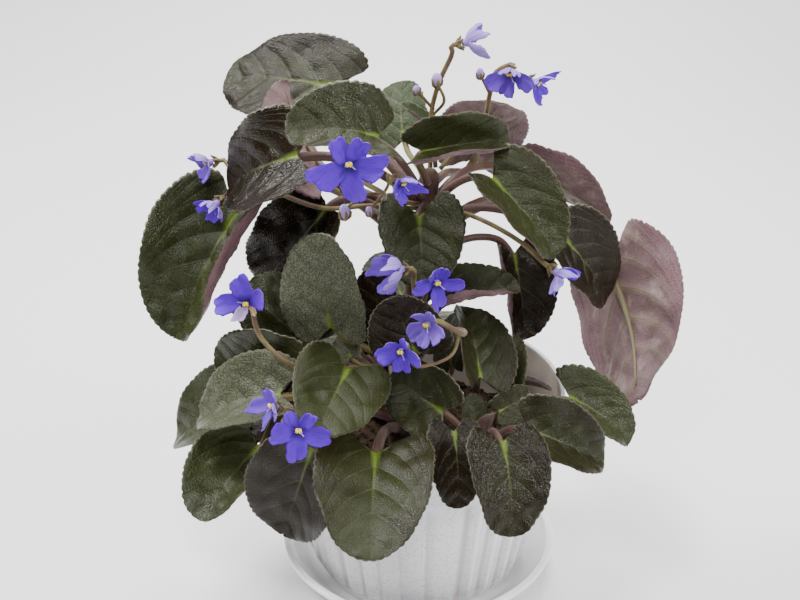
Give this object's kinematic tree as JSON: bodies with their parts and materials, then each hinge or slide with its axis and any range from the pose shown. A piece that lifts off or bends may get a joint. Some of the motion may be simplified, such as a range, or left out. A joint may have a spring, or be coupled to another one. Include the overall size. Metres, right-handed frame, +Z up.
{
  "type": "potted african violet",
  "caption": "Old african violet with heart-shaped bronze leaves and violet flowers on a bare leaning stem, in a fluted white pot on a saucer.",
  "frame": {"origin": "centre of the saucer's flat underside", "axes": "+Z up, the plant's best side looks towards -Y, +X to the right of it"},
  "size_m": [0.2359, 0.2105, 0.2608],
  "materials": {
    "saucer": "gloss",
    "pot": "speckled satin",
    "soil": "crumbly",
    "stem": "rough",
    "young_leaf": "hairy",
    "leaf_bronze": "satin, pebbled and hairy",
    "leaf_green": "satin, pebbled and hairy",
    "flower_stalk": "hairy",
    "petal": "velvety"
  },
  "bodies": {
    "root": {"saucer": "saucer", "pot": "pot", "soil": "soil", "main_stem": "stem", "side_shoot": "young_leaf", "leaf_upper_01": "leaf_bronze", "leaf_upper_02": "leaf_bronze", "leaf_upper_03": "leaf_bronze", "leaf_upper_04": "leaf_bronze", "leaf_upper_05": "leaf_bronze", "leaf_upper_06": "leaf_bronze", "leaf_upper_07": "leaf_bronze", "leaf_upper_08": "leaf_bronze", "leaf_upper_09": "leaf_bronze", "leaf_upper_10": "leaf_bronze", "leaf_upper_11": "leaf_bronze", "leaf_upper_12": "leaf_bronze", "leaf_upper_13": "leaf_bronze", "leaf_upper_14": "leaf_bronze", "leaf_upper_15": "leaf_bronze", "leaf_lower_01": "leaf_green", "leaf_lower_02": "leaf_green", "leaf_lower_03": "leaf_green", "leaf_lower_04": "leaf_green", "leaf_lower_05": "leaf_green", "leaf_lower_06": "leaf_green", "leaf_lower_07": "leaf_green", "leaf_lower_08": "leaf_green", "leaf_lower_09": "leaf_green", "leaf_lower_10": "leaf_green", "leaf_lower_11": "leaf_green", "leaf_lower_12": "leaf_green", "leaf_lower_13": "leaf_green", "leaf_shoot_01": "leaf_green", "leaf_shoot_02": "leaf_green", "leaf_shoot_03": "leaf_green", "leaf_shoot_04": "leaf_green", "leaf_shoot_05": "leaf_green", "leaf_shoot_06": "leaf_green", "spray_tall": "flower_stalk", "spray_top": "flower_stalk", "spray_open": "flower_stalk", "spray_middle": "flower_stalk", "spray_low": "flower_stalk", "flower_tall": "petal", "flower_top_left": "petal", "flower_top_right": "petal", "flower_open": "petal", "flower_beside_open": "petal", "flower_far_left": "petal", "flower_left": "petal", "flower_fading": "petal", "flower_upright": "petal", "flower_middle": "petal", "flower_front": "petal", "flower_front_low": "petal", "flower_pale": "petal", "flower_low": "petal", "flower_right": "petal"}
  },
  "joints": []
}
